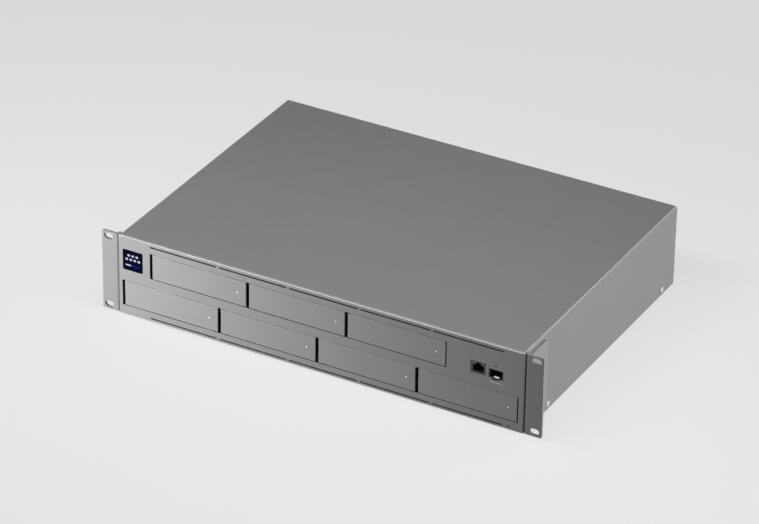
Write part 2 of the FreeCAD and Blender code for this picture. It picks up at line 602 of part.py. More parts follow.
def make_backplane():
    board = new_body("backplane_board")
    near_face = f"({FRONT} + backplane_start)"
    far_face = f"({near_face} + backplane_thick)"
    left, right = f"(-{INSIDE} + backplane_margin)", f"({INSIDE} - backplane_margin)"
    crown, shoulder = "(upper_base + backplane_rise)", "(upper_base - 4)"
    shoulder_x = f"({UPPER_RIGHT} + 1)"
    pad(board, "front", near_face, far_face, polygon(
        (left, "backplane_low"), (right, "backplane_low"), (right, shoulder), (shoulder_x, shoulder),
        (shoulder_x, crown), ("upper_left", crown), ("upper_left", shoulder), (left, shoulder)))
    sockets = new_body("backplane_sockets")
    for left_edge, base, count in (("upper_left", "upper_base", 3), ("lower_left", "lower_base", 4)):
        window = cut(board, "front", f"{near_face} - slip", f"{far_face} + slip",
                     rectangle(f"{left_edge} + air_left", f"{left_edge} + bay_pitch - air_right",
                               f"{base} + air_low", f"{base} + air_high"))
        row_of(board, window, count, "bay_pitch")
        middle = f"({left_edge} + swing_gap / 2 + bay_pitch / 2)"
        block = pad(sockets, "front", f"{near_face} - socket_depth", near_face, rectangle(
            f"{middle} - socket_width / 2", f"{middle} + socket_width / 2",
            f"{base} + socket_rise", f"{base} + socket_rise + socket_height"))
        row_of(sockets, block, count, "bay_pitch")


BOARD_Z = "(upper_base + board_gap)"
BOARD_TOP = "(upper_base + board_gap + board_thick)"


def make_board():
    deck = new_body("board_deck")
    start, end = f"({FRONT} + deck_start)", "(board_end + deck_margin)"
    left, right, low = "(board_left - deck_margin)", "(board_right + 1)", "(supply_height + sheet + 2)"
    pad(deck, "front", start, end, polygon(
        (left, low), (f"{left} + sheet", low), (f"{left} + sheet", "upper_base - sheet"),
        (right, "upper_base - sheet"), (right, "upper_base"), (left, "upper_base")))
    board = new_body("main_board")
    pad(board, "top", BOARD_Z, BOARD_TOP, polygon(
        ("board_strip", f"{BEZEL_BACK} + 2"), ("board_right", f"{BEZEL_BACK} + 2"),
        ("board_right", "board_end"), ("board_left", "board_end"),
        ("board_left", f"{start} + deck_margin"), ("board_strip", f"{start} + deck_margin")))
    posts = new_body("board_standoffs")
    pad(posts, "top", "upper_base", BOARD_Z, *[hexagon(x, y, "post_flat") for x, y in (
        ("board_strip + 5", f"{BEZEL_BACK} + 30"), ("board_right - 5", f"{BEZEL_BACK} + 30"),
        ("board_strip + 5", "-10"), ("board_right - 5", "-10"),
        ("board_left + 5", f"{start} + 10"), ("board_left + 5", "board_end - 6"),
        ("board_right - 5", "board_end - 6"))])


def make_heat_sink():
    body = new_body("heat_sink")
    left, base = "(board_left + sink_inset)", f"({BOARD_TOP} + chip_height)"
    chip_edge = "(sink_side / 2 - chip_side / 2)"
    pad(body, "top", BOARD_TOP, base, rectangle(
        f"{left} + {chip_edge}", f"{left} + {chip_edge} + chip_side",
        f"sink_y + {chip_edge}", f"sink_y + {chip_edge} + chip_side"))
    pad(body, "top", base, f"{base} + sink_base", rectangle(
        left, f"{left} + sink_side", "sink_y", "sink_y + sink_side"))
    fin = pad(body, "top", f"{base} + sink_base - slip", f"{base} + sink_height", rectangle(
        left, f"{left} + fin_thick", "sink_y", "sink_y + sink_side"))
    row_of(body, fin, int(size("fin_count")), "(sink_side - fin_thick) / (fin_count - 1)")


def make_power_supply():
    body = new_body("power_supply")
    half = "(supply_width / 2)"
    end = f"({REAR_FACE} - inlet_depth - supply_gap)"
    start = f"({end} - supply_depth)"
    side = ("supply_x - " + half, "supply_x + " + half)
    pad(body, "top", "sheet", "sheet + supply_height", rectangle(*side, start, end))
    dress(body, "Chamfer", "sheet", lambda edge: runs_along(edge, "y"))
    vent = cut(body, "front", start + " - slip", start + " + 3", rectangle(
        f"{side[0]} + supply_vent_inset", f"{side[1]} - supply_vent_inset",
        "supply_vent_low", "supply_vent_high"))
    row_of(body, vent, 5, "supply_vent_pitch", "V_Axis")


# ---- mains inlet ----

def make_inlet():
    body = new_body("ac_inlet")
    half, tall = "(inlet_width / 2)", "(inlet_height / 2)"
    end = f"({BACK} + inlet_proud)"
    pad(body, "front", f"{REAR_FACE} - inlet_depth + inlet_tail", end, rectangle(
        f"inlet_x - {half}", f"inlet_x + {half}", f"inlet_z - {tall}", f"inlet_z + {tall}"))
    wide, rim = "(inlet_flange / 2)", f"({tall} + inlet_flange_rim)"
    low, high = "inlet_z - inlet_flange_end", "inlet_z + inlet_flange_end"
    pad(body, "front", f"{REAR_FACE} - inlet_flange_thick", REAR_FACE, polygon(
        (f"inlet_x - {wide}", low), (f"inlet_x - {half}", f"inlet_z - {rim}"),
        (f"inlet_x + {half}", f"inlet_z - {rim}"), (f"inlet_x + {wide}", low),
        (f"inlet_x + {wide}", high), (f"inlet_x + {half}", f"inlet_z + {rim}"),
        (f"inlet_x - {half}", f"inlet_z + {rim}"), (f"inlet_x - {wide}", high)))
    cut(body, "front", f"{REAR_FACE} - inlet_flange_thick - slip", f"{REAR_FACE} + slip", *[
        circle(f"inlet_x + {side} * inlet_ear", "inlet_z", "shank_radius") for side in (-1, 1)])
    wide, high = "(inlet_mouth_width / 2)", "(inlet_mouth_height / 2)"
    narrow, shoulder = f"({wide} - inlet_mouth_bevel)", f"({high} - inlet_mouth_bevel)"
    floor = f"({end} - inlet_mouth_depth)"
    cut(body, "front", floor, f"{end} + slip", polygon(
        (f"inlet_x - {wide}", f"inlet_z - {high}"), (f"inlet_x + {wide}", f"inlet_z - {high}"),
        (f"inlet_x + {wide}", f"inlet_z + {shoulder}"), (f"inlet_x + {narrow}", f"inlet_z + {high}"),
        (f"inlet_x - {narrow}", f"inlet_z + {high}"), (f"inlet_x - {wide}", f"inlet_z + {shoulder}")))
    pad(body, "front", f"{floor} - slip", f"{floor} + pin_length", *[
        rectangle(f"inlet_x + {x} - pin_half_width", f"inlet_x + {x} + pin_half_width",
                  f"inlet_z + {z} - pin_half_height", f"inlet_z + {z} + pin_half_height")
        for x, z in ((-7, -2), (0, 2), (7, -2))])


# ---- fans: drawn about their own centre, air moves to the back ----

def make_fan(side, x):
    place = (x, f"{REAR_FACE} - slip", "fan_z")
    frame = new_body(f"fan_frame_{side}", place)
    half = "(fan_side / 2)"
    pad(frame, "front", "-fan_depth", "0", rectangle(f"-{half}", half, f"-{half}", half))
    dress(frame, "Chamfer", "fan_corner", lambda edge: runs_along(edge, "y"))
    cut(frame, "front", "-fan_depth - slip", "slip", circle("0", "0", "fan_bore"), *[
        many_sided(f"{sx} * fan_hole", f"{sz} * fan_hole", "fan_hole_radius", 8)
        for sx in (-1, 1) for sz in (-1, 1)])
    pad(frame, "front", "-motor_plate", "0", many_sided("0", "0", "fan_hub", 24))
    strut = pad(frame, "front", "-motor_plate", "0",
                rectangle("fan_hub - 1", "fan_bore + slip", "-strut_half", "strut_half"))
    turn_about(frame, strut, 4)
    rotor = new_body(f"fan_rotor_{side}", place)
    pad(rotor, "front", "-fan_depth + rotor_front", "-rotor_back",
        many_sided("0", "0", "fan_hub", 24))
    dress(rotor, "Chamfer", "hub_bevel", lambda edge: near(edge.BoundBox.YMax, "-fan_depth + rotor_front"))
    blade = pad(rotor, "side", "fan_hub - hub_bevel", "blade_reach", blade_section(2, 9.5, 7))
    turn_about(rotor, blade, "blade_count")


def blade_section(lean, reach, rise):
    """A thin slanted section: reach to each side of its middle, rise along the axis."""
    middle = -14
    thick = 1.1
    low, crook, high = lean - reach, lean + reach * 0.35, lean + reach
    return polygon(
        (middle - rise, low), (middle - rise + thick, low), (middle + rise * 0.3 + thick, crook),
        (middle + rise, high), (middle + rise - thick, high), (middle + rise * 0.3 - thick * 0.6, crook))


def turn_about(body, feature, count):
    """Repeats a feature round the body's own Y axis."""
    pattern = body.newObject("PartDesign::PolarPattern", f"{body.Label}_turn")
    pattern.Originals = [feature]
    axis = next(item for item in body.Origin.OriginFeatures if item.Role == "Y_Axis")
    pattern.Axis = (axis, [""])
    pattern.Angle = 360
    pattern.Occurrences = int(size(count))
    body.Tip = pattern


# ---- fasteners: one node for each group of like screws ----

def make_screws(label, spots, turn):
    """Pan-head screws; each spot is the middle of the face under a head."""
    screws = []
    for number, spot in enumerate(spots, 1):
        head = doc.addObject("Part::Prism", f"{label}_head_{number}")
        head.Polygon = 24
        bind(head, "Circumradius", "head_radius")
        bind(head, "Height", "head_height")
        shank = doc.addObject("Part::Prism", f"{label}_shank_{number}")
        shank.Polygon = 8
        bind(shank, "Circumradius", "shank_radius - slip")
        bind(shank, "Height", "shank_length")
        shank.Placement.Base = FreeCAD.Vector(0, 0, -size("shank_length"))
        screw = doc.addObject("Part::Fuse", f"{label}_{number}")
        screw.Base = head
        screw.Tool = shank
        screw.Placement = FreeCAD.Placement(FreeCAD.Vector(), turn(spot))
        for letter, text in zip("xyz", spot):
            bind(screw, f"Placement.Base.{letter}", text)
        screws.append(screw)
    group = doc.addObject("Part::Compound", label)
    group.Links = screws
    group.Label = label
    nodes.append(group)


def outward(spot):
    """Heads on the left side point to -X, on the right side to +X."""
    angle = 90 if size(spot[0]) > 0 else -90
    return FreeCAD.Rotation(FreeCAD.Vector(0, 1, 0), angle)


def backward(spot):
    return FreeCAD.Rotation(FreeCAD.Vector(1, 0, 0), -90)


def make_all_screws():
    make_screws("cover_screws", [
        (f"{side} * {HALF}", f"{FRONT} + {y}", "cover_screw_z")
        for side in (-1, 1) for y in ("cover_screw_front", "cover_screw_back")], outward)
    inlet_spots = [(f"inlet_x + {side} * inlet_ear", BACK, "inlet_z") for side in (-1, 1)]
    make_screws("rear_screws", inlet_spots, backward)


def check_and_export():
    doc.recompute()
    for item in doc.Objects:
        if "Invalid" in item.State or "Error" in item.State:
            raise RuntimeError(f"{item.Label} failed: {item.State}")
        if item.TypeId == "PartDesign::Pocket" and item.Shape.Volume > item.BaseFeature.Shape.Volume - 1e-3:
            raise RuntimeError(f"{item.Label} cuts nothing")
    os.makedirs("parts", exist_ok=True)
    for node in nodes:
        if node.Shape.isNull() or not node.Shape.isValid():
            raise RuntimeError(f"{node.Label} has no valid shape")
        node.Shape.exportStep(f"parts/{node.Label}.step")
        box = node.Shape.BoundBox
        print(f"{node.Label:22s} solids {len(node.Shape.Solids):2d}  volume {node.Shape.Volume:10.1f}  "
              f"x {box.XMin:8.2f} {box.XMax:8.2f}  y {box.YMin:8.2f} {box.YMax:8.2f}  "
              f"z {box.ZMin:6.2f} {box.ZMax:6.2f}")


make_base_pan()
make_top_cover()
make_rear_panel()
make_front_bezel()
make_shelves()
make_dividers("lower_dividers", "lower_left", "lower_base", "divider_height", 5)
make_dividers("upper_dividers", "upper_left", "upper_base", "divider_height", 4)
for number, left, base in bays():
    spot = (left, FRONT, base)
    make_tray(f"tray_{number}", spot)
    make_door(f"tray_{number}_door", spot)
    make_pin(f"tray_{number}_pin", spot)
    make_lamp(f"tray_{number}_lamp", spot)
make_display()
make_network_jack()
make_fibre_cage()
make_port_lamp()
make_reset()
make_ear("ear_left", -1)
make_ear("ear_right", 1)
make_backplane()
make_board()
make_heat_sink()
make_power_supply()
make_inlet()
make_fan("left", "fan_left_x")
make_fan("right", "fan_right_x")
make_all_screws()
check_and_export()
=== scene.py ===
import json
import math
import bmesh
import bpy
from mathutils import Matrix, Vector


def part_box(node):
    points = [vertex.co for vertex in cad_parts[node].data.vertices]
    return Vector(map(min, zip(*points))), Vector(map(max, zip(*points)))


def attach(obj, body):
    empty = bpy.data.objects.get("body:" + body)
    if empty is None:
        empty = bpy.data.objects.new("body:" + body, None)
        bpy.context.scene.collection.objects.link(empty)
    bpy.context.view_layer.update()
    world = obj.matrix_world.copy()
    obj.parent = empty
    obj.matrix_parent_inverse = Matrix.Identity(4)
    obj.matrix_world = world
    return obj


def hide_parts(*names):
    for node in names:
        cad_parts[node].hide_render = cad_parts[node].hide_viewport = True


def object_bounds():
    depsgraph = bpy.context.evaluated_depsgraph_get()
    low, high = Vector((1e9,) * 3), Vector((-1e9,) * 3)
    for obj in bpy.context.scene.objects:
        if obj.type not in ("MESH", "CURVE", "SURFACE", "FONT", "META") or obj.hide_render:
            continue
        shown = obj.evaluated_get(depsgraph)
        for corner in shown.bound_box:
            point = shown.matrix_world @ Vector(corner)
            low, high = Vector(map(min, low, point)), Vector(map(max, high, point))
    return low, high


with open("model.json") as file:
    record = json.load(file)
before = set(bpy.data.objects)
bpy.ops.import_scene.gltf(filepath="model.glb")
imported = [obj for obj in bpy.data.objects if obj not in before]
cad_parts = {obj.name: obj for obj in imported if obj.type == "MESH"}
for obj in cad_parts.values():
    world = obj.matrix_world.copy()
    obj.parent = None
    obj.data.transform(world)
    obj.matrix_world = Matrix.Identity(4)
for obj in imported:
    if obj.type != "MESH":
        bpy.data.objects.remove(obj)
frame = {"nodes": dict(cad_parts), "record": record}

cad_low, cad_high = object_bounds()
MM = 0.001
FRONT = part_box("front_bezel")[0].y
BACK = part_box("rear_panel")[1].y
BAYS = range(1, 8)
HAIR = 0.1 * MM  # how far a zone of a finish reaches past the face that it takes in
ACROSS, UP = Vector((1, 0, 0)), Vector((0, 0, 1))


# ---- finishes: all procedural, measured in metres on the object itself ----

NOISE_LOW, NOISE_HIGH = 0.3, 0.7  # most of a noise lies between these


def feed(tree, socket, value):
    """Links another node's output to a socket, or sets the socket to a plain value."""
    if isinstance(value, bpy.types.NodeSocket):
        tree.links.new(value, socket)
    else:
        socket.default_value = value


def maths(tree, operation, *values):
    made = tree.nodes.new("ShaderNodeMath")
    made.operation = operation
    for socket, value in zip(made.inputs, values):
        feed(tree, socket, value)
    return made.outputs[0]


def blend(tree, kind, share, first, second):
    """Mixes two colours (kind RGBA) or two numbers (kind FLOAT); share is how much of the second."""
    made = tree.nodes.new("ShaderNodeMix")
    made.data_type = kind
    feed(tree, made.inputs["Factor"], share)
    feed(tree, made.inputs["A"], first)
    feed(tree, made.inputs["B"], second)
    return made.outputs["Result"]


def noise(tree, place, scale, detail):
    made = tree.nodes.new("ShaderNodeTexNoise")
    made.inputs["Scale"].default_value = scale
    made.inputs["Detail"].default_value = detail
    tree.links.new(place, made.inputs["Vector"])
    return made.outputs["Fac"]


def spread(tree, source, low, high):
    """Stretches a noise's middle range to run from low to high."""
    made = tree.nodes.new("ShaderNodeMapRange")
    ranges = {"Value": source, "From Min": NOISE_LOW, "From Max": NOISE_HIGH, "To Min": low, "To Max": high}
    for name, value in ranges.items():
        feed(tree, made.inputs[name], value)
    return made.outputs["Result"]


def surface(name, colour, vary=0.06, roughness=0.45, rough_vary=0.05, metallic=0.0, specular=0.5,
            grain=1500.0, mottle=60.0, bump=0.2, depth=0.02, edge=0.25, stretch=(1, 1, 1)):
    """A finish with cloudy tone, fine grain that also roughens, and eased edges; depth and edge in mm."""
    made = bpy.data.materials.new(name)
    made.use_nodes = True
    tree = made.node_tree
    shader = tree.nodes["Principled BSDF"]
    place = tree.nodes.new("ShaderNodeTexCoord").outputs["Object"]
    mapping = tree.nodes.new("ShaderNodeMapping")
    mapping.inputs["Scale"].default_value = stretch
    tree.links.new(place, mapping.inputs["Vector"])
    fine = noise(tree, mapping.outputs["Vector"], grain, 3.0)
    cloud = noise(tree, place, mottle, 3.0)
    tone = spread(tree, blend(tree, "FLOAT", 0.5, fine, cloud), 0, 1)
    dark = [c * (1 - vary) for c in colour]
    light = [min(1, c * (1 + vary)) for c in colour]
    feed(tree, shader.inputs["Base Color"], blend(tree, "RGBA", tone, (*dark, 1), (*light, 1)))
    feed(tree, shader.inputs["Roughness"], spread(tree, fine, roughness - rough_vary, roughness + rough_vary))
    shader.inputs["Metallic"].default_value = metallic
    shader.inputs["Specular IOR Level"].default_value = specular
    relief = tree.nodes.new("ShaderNodeBump")
    relief.inputs["Strength"].default_value = bump
    relief.inputs["Distance"].default_value = depth * MM
    tree.links.new(fine, relief.inputs["Height"])
    if edge:
        eased = tree.nodes.new("ShaderNodeBevel")
        eased.samples = 4
        eased.inputs["Radius"].default_value = edge * MM
        tree.links.new(eased.outputs["Normal"], relief.inputs["Normal"])
    tree.links.new(relief.outputs["Normal"], shader.inputs["Normal"])
    return made


def glowing(name, colour, strength, core):
    """A lit lens: dull clear plastic of the core's colour that gives off light, a little uneven."""
    made = surface(name, core, vary=0.03, roughness=0.3, specular=0.02, grain=4000, bump=0.05, edge=0)
    tree = made.node_tree
    shader = tree.nodes["Principled BSDF"]
    cloud = noise(tree, tree.nodes["Texture Coordinate"].outputs["Object"], 2500, 1.0)
    dark = [c * 0.9 for c in colour]
    feed(tree, shader.inputs["Emission Color"], blend(tree, "RGBA", cloud, (*dark, 1), (*colour, 1)))
    shader.inputs["Emission Strength"].default_value = strength
    return made


# the painted and anodised outside
case_paint = surface("case_paint", (0.176, 0.176, 0.179), vary=0.035, roughness=0.50, specular=0.4,
                     grain=2600, mottle=22, bump=0.28, edge=1.1)
bezel_finish = surface("bezel_finish", (0.228, 0.228, 0.234), vary=0.03, roughness=0.42, metallic=0.08,
                       specular=0.4, grain=3200, mottle=18, bump=0.18, depth=0.015, edge=0.6)
door_finish = surface("door_finish", (0.242, 0.242, 0.248), vary=0.03, roughness=0.42, metallic=0.08,
                      specular=0.4, grain=3200, mottle=24, bump=0.18, depth=0.015, edge=0.3)
ear_finish = surface("ear_finish", (0.205, 0.205, 0.209), vary=0.035, metallic=0.05, specular=0.4,
                     grain=2800, mottle=30, bump=0.22, edge=0.8)

# the metal inside, and small bright parts
tray_coat = surface("tray_coat", (0.022, 0.022, 0.024), vary=0.12, roughness=0.5, grain=2400, bump=0.25)
zinc = surface("zinc_sheet", (0.50, 0.51, 0.53), vary=0.16, roughness=0.36, rough_vary=0.09, metallic=0.95,
               grain=260, mottle=140, bump=0.08)
bright_steel = surface("bright_steel", (0.62, 0.62, 0.63), vary=0.08, roughness=0.28, metallic=1.0,
                       grain=1800, bump=0.12, edge=0.12, stretch=(1, 1, 12))
port_steel = surface("port_steel", (0.075, 0.075, 0.078), vary=0.1, roughness=0.42, metallic=0.7,
                     grain=2200, bump=0.12, edge=0.1, stretch=(1, 1, 8))
screw_zinc = surface("screw_zinc", (0.50, 0.50, 0.51), vary=0.08, roughness=0.58, metallic=0.45,
                     grain=2600, bump=0.15, edge=0.15)
tinned = surface("tinned_spring", (0.92, 0.91, 0.89), vary=0.04, roughness=0.42, metallic=0.35,
                 grain=2200, bump=0.06, edge=0)
extruded = surface("extruded_aluminium", (0.46, 0.47, 0.49), vary=0.06, roughness=0.33, metallic=1.0,
                   grain=1400, bump=0.12, stretch=(10, 1, 1))
gold = surface("gold_contacts", (0.83, 0.58, 0.22), vary=0.08, roughness=0.24, metallic=1.0, grain=3500,
               bump=0.08, edge=0)

# plastics, glass and board
black_plastic = surface("black_plastic", (0.016, 0.016, 0.017), vary=0.2, roughness=0.48, grain=1700,
                        bump=0.3, edge=0.2)
port_black = surface("port_black", (0.006, 0.006, 0.007), vary=0.2, roughness=0.55, grain=2500, edge=0)
glass_black = surface("screen_glass", (0.0012, 0.0014, 0.004), vary=0.25, roughness=0.12, rough_vary=0.02,
                      specular=0.04, grain=500, mottle=160, bump=0.01, edge=0.1)
solder_mask = surface("solder_mask", (0.012, 0.030, 0.022), vary=0.25, roughness=0.34, grain=900,
                      mottle=260, bump=0.3)
soft_pad = surface("soft_pad", (0.035, 0.035, 0.037), vary=0.25, roughness=0.9, grain=3800, bump=0.5, edge=0)
clear_plastic = surface("clear_plastic", (0.55, 0.57, 0.60), vary=0.05, roughness=0.18, grain=900,
                        bump=0.05, edge=0.2)
lamp_off = surface("lamp_off", (0.030, 0.030, 0.033), roughness=0.25, grain=3000, bump=0.05, edge=0)

# what gives off light
lamp_white = glowing("lamp_white", (0.93, 0.96, 1.0), 0.55, core=(0.6, 0.6, 0.6))
screen_white = glowing("screen_white", (0.55, 0.60, 0.80), 0.75, core=(0.10, 0.11, 0.16))
screen_blue = glowing("screen_blue", (0.01, 0.02, 0.36), 0.5, core=(0.002, 0.004, 0.03))
screen_dim = glowing("screen_dim", (0.0004, 0.0008, 0.013), 0.5, core=(0.0006, 0.0008, 0.004))


# ---- zones of a finish: black mouldings behind thin skins that also paint the shade in gaps and openings, painted highlights on edges and folds, a printed stripe ----

# black of the mouldings, which also stands in as painted shade in the gaps and openings
MOULDING_AND_GAP_SHADE = (0.005, 0.005, 0.0055)
# painted highlight on the top edges of the doors
DOOR_EDGE_HIGHLIGHT = (0.55, 0.55, 0.56)
# painted highlight along the cover's side folds
CASE_FOLD_HIGHLIGHT = (0.30, 0.30, 0.305)
# painted highlight along the bezel's top edge, paler and more metallic
BEZEL_EDGE_HIGHLIGHT = (0.31, 0.31, 0.315)
BEZEL_HIGHLIGHT_METALLIC = 0.7
STRIPE = (0.60, 0.58, 0.56)


def recolour(finish, colour, metallic=0.0, **limits):
    """Gives a finish another colour between low and high limits on x, y or z, in metres."""
    tree = finish.node_tree
    base, metal = (tree.nodes["Principled BSDF"].inputs[name] for name in ("Base Color", "Metallic"))
    split = tree.nodes.new("ShaderNodeSeparateXYZ")
    tree.links.new(tree.nodes["Texture Coordinate"].outputs["Object"], split.inputs[0])
    masks = [maths(tree, "COMPARE", split.outputs[axis.upper()], (low + high) / 2, (high - low) / 2)
             for axis, (low, high) in limits.items()]
    inside = masks[0]
    for mask in masks[1:]:
        inside = maths(tree, "MULTIPLY", inside, mask)
    feed(tree, base, blend(tree, "RGBA", inside, base.links[0].from_socket, (*colour, 1)))
    if metal.is_linked:
        feed(tree, metal, blend(tree, "FLOAT", inside, metal.links[0].from_socket, metallic))
    elif metal.default_value != metallic:
        feed(tree, metal, blend(tree, "FLOAT", inside, metal.default_value, metallic))


def door_zones():
    """A thin skin over a black moulding that shows behind it, partly as painted shade in the gaps; painted
    shade down each free end; a painted highlight on the top edges of each row.
    """
    skin, edge, highlight_lip, free_end_shade = 0.15 * MM, 0.15 * MM, 1.7 * MM, 0.8 * MM
    # black moulding behind the skin, partly painted shade on the door's sides in the gaps
    recolour(door_finish, MOULDING_AND_GAP_SHADE, y=(FRONT + skin, BACK))
    # painted highlight: the top edge of each row of doors is made paler, where it lies in the gap's shadow
    for door in ("tray_1_door", "tray_4_door"):
        row_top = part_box(door)[1].z
        recolour(door_finish, DOOR_EDGE_HIGHLIGHT, y=(FRONT + HAIR, FRONT + highlight_lip), z=(row_top - edge, row_top + HAIR))
    # painted shade: black down each door's free end and a little onto its front, where the gap is shaded
    for number in BAYS:
        low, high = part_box(f"tray_{number}_door")
        recolour(door_finish, MOULDING_AND_GAP_SHADE, x=(high.x - free_end_shade, high.x + HAIR), z=(low.z, high.z - edge))


def case_zones():
    """A painted highlight: the paint is made paler along the cover's two side folds."""
    low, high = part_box("top_cover")
    width, depth, flat = 2.8 * MM, 0.8 * MM, 0.05 * MM
    for fold in ((low.x - HAIR, low.x + width), (high.x - width, high.x + HAIR)):
        recolour(case_paint, CASE_FOLD_HIGHLIGHT, x=fold, z=(high.z - depth, high.z - flat))


def bezel_zones():
    """A painted highlight along the top edge, paler and more metallic; black moulding behind the skin, partly
    painted shade in the openings; and a stripe printed under the fibre port.
    """
    low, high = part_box("front_bezel")
    highlight_reach, skin, depth = 0.8 * MM, 0.9 * MM, 0.7 * MM
    # painted highlight along the top edge
    recolour(bezel_finish, BEZEL_EDGE_HIGHLIGHT, BEZEL_HIGHLIGHT_METALLIC, y=(FRONT - HAIR, FRONT + highlight_reach),
             z=(high.z - depth, high.z + HAIR))
    # black moulding inside the bezel's openings and vents, partly painted shade
    ends, foot, brow = 2.0 * MM, 3.1 * MM, 1.5 * MM
    recolour(bezel_finish, MOULDING_AND_GAP_SHADE, y=(FRONT + skin, BACK), x=(low.x + ends, high.x - ends),
             z=(low.z + foot, high.z - brow))
    port_low, port_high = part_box("fibre_cage")
    gap, tall, inset_left, inset_right = 2.5 * MM, 0.8 * MM, 0.4 * MM, 0.2 * MM
    recolour(bezel_finish, STRIPE, x=(port_low.x + inset_left, port_high.x - inset_right),
             y=(FRONT, FRONT + HAIR), z=(port_low.z - gap - tall, port_low.z - gap))


door_zones()
case_zones()
bezel_zones()

FINISHES = {
    "case_paint": case_paint, "bezel_finish": bezel_finish, "door_finish": door_finish,
    "ear_finish": ear_finish, "tray_steel": tray_coat, "inner_steel": zinc, "screen_glass": glass_black,
    "black_plastic": black_plastic, "plated_shell": port_steel, "lamp_lens": lamp_white,
    "board": solder_mask, "steel": bright_steel, "bare_aluminium": extruded, "supply_case": zinc,
}
slot_of = {part["node"]: part["material_slot"] for part in frame["record"]["subparts"]}
for name, thing in frame["nodes"].items():
    finish = lamp_off if name == "port_lamp" else FINISHES[slot_of[name]]
    thing.data.materials.clear()
    thing.data.materials.append(finish)


# ---- meshes: each is built from rings of corners, then becomes a named piece on a body ----

def placed(name, working, finish):
    """Turns a working mesh into an object of the scene."""
    bmesh.ops.recalc_face_normals(working, faces=working.faces)
    mesh = bpy.data.meshes.new(name)
    working.to_mesh(mesh)
    working.free()
    mesh.materials.append(finish)
    made = bpy.data.objects.new(name, mesh)
    bpy.context.scene.collection.objects.link(made)
    return made


def piece(name, working, finish, body):
    """Adds a piece that moves with a body, in the given finish."""
    made = placed(name, working, finish)
    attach(made, body)
    return made


def walls(working, rings, open_start=False):
    """Faces from each ring of corners to the next; the last ring is closed, and the first unless open."""
    corners = [[working.verts.new(corner) for corner in ring] for ring in rings]
    for near, far in zip(corners, corners[1:]):
        for k, corner in enumerate(near):
            beside = (k + 1) % len(near)
            working.faces.new((corner, near[beside], far[beside], far[k]))
    working.faces.new(corners[-1][::-1])
    if not open_start:
        working.faces.new(corners[0])


def middle(name):
    low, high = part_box(name)
    return (low + high) / 2


def circle(radius, steps):
    """Evenly spaced (u, v) points."""
    turn = 2 * math.pi / steps
    return [(radius * math.cos(turn * k), radius * math.sin(turn * k)) for k in range(steps)]


def rounded_rectangle(width, height, radius, steps=6):
    """Corner-rounded outline about its own middle, as (u, v) pairs."""
    points = []
    for sign_u, sign_v, start in ((1, 1, 0), (-1, 1, 90), (-1, -1, 180), (1, -1, 270)):
        for step in range(steps + 1):
            angle = math.radians(start + 90 * step / steps)
            points.append((sign_u * (width / 2 - radius) + radius * math.cos(angle),
                           sign_v * (height / 2 - radius) + radius * math.sin(angle)))
    return points


def upright_plate(outline, x, z, front, back, bevel=0.0):
    """A plate facing the front: an outline about x and z, from y front to y back, its front edge bevelled."""
    rings = []
    for y, inset in ((front, bevel), (front + bevel, 0.0), (back, 0.0)):
        shrunk = [1 - inset / math.hypot(u, v) for u, v in outline]
        rings.append([(x + u * scale, y, z + v * scale) for (u, v), scale in zip(outline, shrunk)])
    working = bmesh.new()
    walls(working, rings)
    return working


def tube_liner(outline, front, back):
    """The inside walls and blind end of a port, open to the front; the outline is in x and z."""
    working = bmesh.new()
    walls(working, [[(x, y, z) for x, z in outline] for y in (front, back)], open_start=True)
    return working


def swept_bar(path, width, thick, across=ACROSS):
    """A flat strip that follows a path in the plane square to across."""
    rings = []
    for k, point in enumerate(path):
        before, after = path[max(k - 1, 0)], path[min(k + 1, len(path) - 1)]
        up = across.cross(after - before).normalized() * thick / 2
        side = across * width / 2
        rings.append([point - side - up, point + side - up, point + side + up, point - side + up])
    working = bmesh.new()
    walls(working, rings)
    return working


def turned(working, profile, centre, axis, steps):
    """Adds a turned solid: the profile is (distance along axis, radius) from end to end, in mm."""
    across = UP if abs(axis.z) < 0.5 else ACROSS
    other = axis.cross(across)
    walls(working, [[centre + (axis * along + across * u + other * v) * MM for u, v in circle(radius, steps)]
                    for along, radius in profile])


def path_back(x, front, foot, points):
    """A path at one x, from (depth behind the front, height above the foot) pairs in mm."""
    return [Vector((x, front + depth * MM, foot + height * MM)) for depth, height in points]


# ---- status lamps in the doors: round lenses, flush with the door ----

LENS_SPARE = 0.02 * MM
LENS_PROUD = 0.06 * MM
LENS_BEVEL = 0.12 * MM
LENS_STEPS = 32

for number in BAYS:
    low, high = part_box(f"tray_{number}_lamp")
    centre = middle(f"tray_{number}_lamp")
    lens_outline = circle((high.x - low.x) / 2 + LENS_SPARE, LENS_STEPS)
    lens_mesh = upright_plate(lens_outline, centre.x, centre.z, low.y - LENS_PROUD, high.y, LENS_BEVEL)
    lens = piece(f"status_lamp_{number}", lens_mesh, lamp_white, f"door_{number}")
    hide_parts(f"tray_{number}_lamp")


# ---- screen: glass with eased corners, and a plain status picture of the bays on it ----

glass_low, glass_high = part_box("display_glass")
GLASS_SIDE = glass_high.x - glass_low.x
GLASS_SUNK = 0.12 * MM
GLASS_FRONT = glass_low.y + GLASS_SUNK
GLASS_CORNER = 1.6 * MM
GLASS_BEVEL = 0.15 * MM
SCREEN_MIDDLE = middle("display_glass")
MARK_SUNK = 0.02 * MM
FIELD_LIFT, GAUGE_LIFT, BLOCK_LIFT = 0.015 * MM, 0.03 * MM, 0.05 * MM
# the picture's measures are in mm from the screen's middle; sizes are width, height and corner
FIELD = (20.6, 20.6, 1.4)
BLOCK = (2.7, 2.3, 0.6)
BLOCK_ROWS = (3, 4)
BLOCK_PITCH, ROW_PITCH, FIRST_ROW = 4.6, 4.4, 5.4
GAUGE = (16.4, 1.5, 0.7)
LEVEL = (6.2, 1.5, 0.7)
GAUGE_ROW = -5.4

